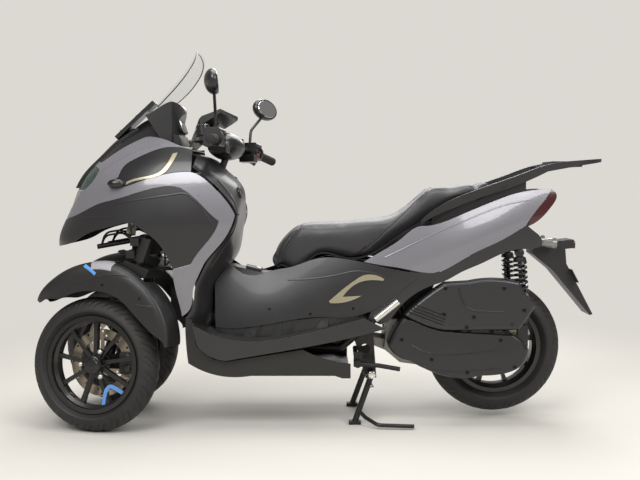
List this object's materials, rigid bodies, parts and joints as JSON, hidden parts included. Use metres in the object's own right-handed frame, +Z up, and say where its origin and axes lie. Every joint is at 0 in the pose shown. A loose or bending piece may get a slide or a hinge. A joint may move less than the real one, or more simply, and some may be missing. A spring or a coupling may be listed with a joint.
{
  "type": "leaning three-wheel scooter",
  "caption": "Leaning scooter with two front wheels and one rear wheel, on its centre stand, with fairing, screen, stepped seat and rear carrier.",
  "frame": {"origin": "on the floor under the middle of the vehicle", "axes": "+X towards the rear, +Y towards the right side, +Z up"},
  "size_m": [2.2849, 0.7768, 1.502],
  "materials": {
    "tyre": "matt moulded rubber",
    "cast_wheel": "satin black cast aluminium",
    "brake_disc": "ground stainless steel",
    "dark_casting": "satin black paint",
    "fender_plastic": "fine grained black polypropylene",
    "caliper_metal": "grey anodised casting",
    "frame_paint": "black powder coat",
    "engine_metal": "die cast",
    "dark_plastic": "moulded dark grey plastic",
    "grey_gloss": "metallic grey lacquer",
    "lamp_glass": "dark tinted lens",
    "clear_screen": "clear polycarbonate",
    "red_lens": "red acrylic",
    "signal_lens": "smoked clear acrylic",
    "seat_cover": "grained synthetic leather",
    "muffler_steel": "satin black heat paint",
    "peg_metal": "polished",
    "grip_rubber": "ribbed",
    "mirror_face": "silvered glass",
    "carrier_paint": "textured black paint",
    "gold_trim": "champagne satin metallic"
  },
  "bodies": {
    "root": {"lean_linkage": "dark_casting", "main_frame": "frame_paint", "engine_block": "engine_metal", "cvt_cover": "dark_plastic", "air_cleaner": "dark_plastic", "swing_arm": "dark_casting", "muffler": "muffler_steel", "rear_axle": "engine_metal", "rear_caliper": "caliper_metal", "rear_shocks": "frame_paint", "upper_cowl": "grey_gloss", "lower_cowl": "dark_plastic", "cowl_blades": "dark_plastic", "front_lamps": "lamp_glass", "cowl_brow": "dark_plastic", "windscreen": "clear_screen", "screen_mount": "dark_plastic", "dash_shroud": "dark_plastic", "leg_shield": "dark_plastic", "side_covers": "dark_plastic", "tail_cowls": "grey_gloss", "under_tail": "dark_plastic", "tail_lamp": "red_lens", "floorboards": "dark_plastic", "belly_cover": "dark_plastic", "tunnel_cover": "dark_plastic", "storage_bin": "dark_plastic", "grab_rail": "carrier_paint", "plate_bracket": "dark_plastic", "rear_signals": "signal_lens", "passenger_pegs": "peg_metal", "gold_trims": "gold_trim", "tail_ledges": "dark_plastic"},
    "front_wheel_l": {"front_tyre_l": "tyre", "front_rim_l": "cast_wheel", "front_disc_l": "brake_disc"},
    "front_wheel_r": {"front_tyre_r": "tyre", "front_rim_r": "cast_wheel", "front_disc_r": "brake_disc"},
    "rear_wheel": {"rear_tyre": "tyre", "rear_rim": "cast_wheel", "rear_disc": "brake_disc"},
    "leg_l": {"fork_l": "dark_casting", "fender_l": "fender_plastic", "front_caliper_l": "caliper_metal"},
    "leg_r": {"fork_r": "dark_casting", "fender_r": "fender_plastic", "front_caliper_r": "caliper_metal"},
    "handlebar": {"handlebar": "dark_casting", "grips": "grip_rubber", "mirrors": "dark_plastic", "mirror_glass": "mirror_face", "controls": "dark_plastic", "handle_cover": "dark_plastic"},
    "seat": {"seat_cushion": "seat_cover", "seat_base": "dark_plastic"},
    "centre_stand": {"centre_stand": "frame_paint"},
    "side_stand": {"side_stand": "frame_paint"},
    "fuel_lid": {"fuel_lid": "dark_plastic"}
  },
  "joints": [
    {"name": "leg_l_turn", "type": "hinge", "parent": "root", "child": "leg_l", "pos_m": [-0.8725, -0.235, 0.26131], "axis": [0.342, 0, 0.9397], "range_deg": [-17, 47]},
    {"name": "front_wheel_l_spin", "type": "hinge", "parent": "leg_l", "child": "front_wheel_l", "pos_m": [-0.89917, -0.22831, 0.26101], "axis": [0.2432, 0.9659, -0.0885], "continuous": true},
    {"name": "leg_r_turn", "type": "hinge", "parent": "root", "child": "leg_r", "pos_m": [-0.8725, 0.235, 0.26131], "axis": [0.342, 0, 0.9397], "range_deg": [-17, 47]},
    {"name": "front_wheel_r_spin", "type": "hinge", "parent": "leg_r", "child": "front_wheel_r", "pos_m": [-0.89917, 0.24169, 0.26101], "axis": [0.2432, 0.9659, -0.0885], "continuous": true},
    {"name": "steering", "type": "hinge", "parent": "root", "child": "handlebar", "pos_m": [-0.4, 0, 1.1], "axis": [0.342, 0, 0.9397], "range_deg": [-17, 47]},
    {"name": "rear_wheel_spin", "type": "hinge", "parent": "root", "child": "rear_wheel", "pos_m": [0.695, 0, 0.2978], "axis": [0, 1, 0], "continuous": true},
    {"name": "seat_hinge", "type": "hinge", "parent": "root", "child": "seat", "pos_m": [-0.225, 0, 0.638], "axis": [0, -1, 0], "range_deg": [0, 60]},
    {"name": "centre_stand_swing", "type": "hinge", "parent": "root", "child": "centre_stand", "pos_m": [0.186, 0, 0.199], "axis": [0, 1, 0], "range_deg": [-95, 0]},
    {"name": "side_stand_swing", "type": "hinge", "parent": "root", "child": "side_stand", "pos_m": [0.128, -0.178, 0.25], "axis": [0, 1, 0], "range_deg": [0, 95]},
    {"name": "fuel_lid_hinge", "type": "hinge", "parent": "root", "child": "fuel_lid", "pos_m": [-0.326, 0, 0.626], "axis": [0, -1, 0], "range_deg": [0, 100]}
  ],
  "couplings": [
    {"joint": "leg_l_turn", "follows": "steering", "ratio": 1},
    {"joint": "leg_r_turn", "follows": "steering", "ratio": 1}
  ]
}
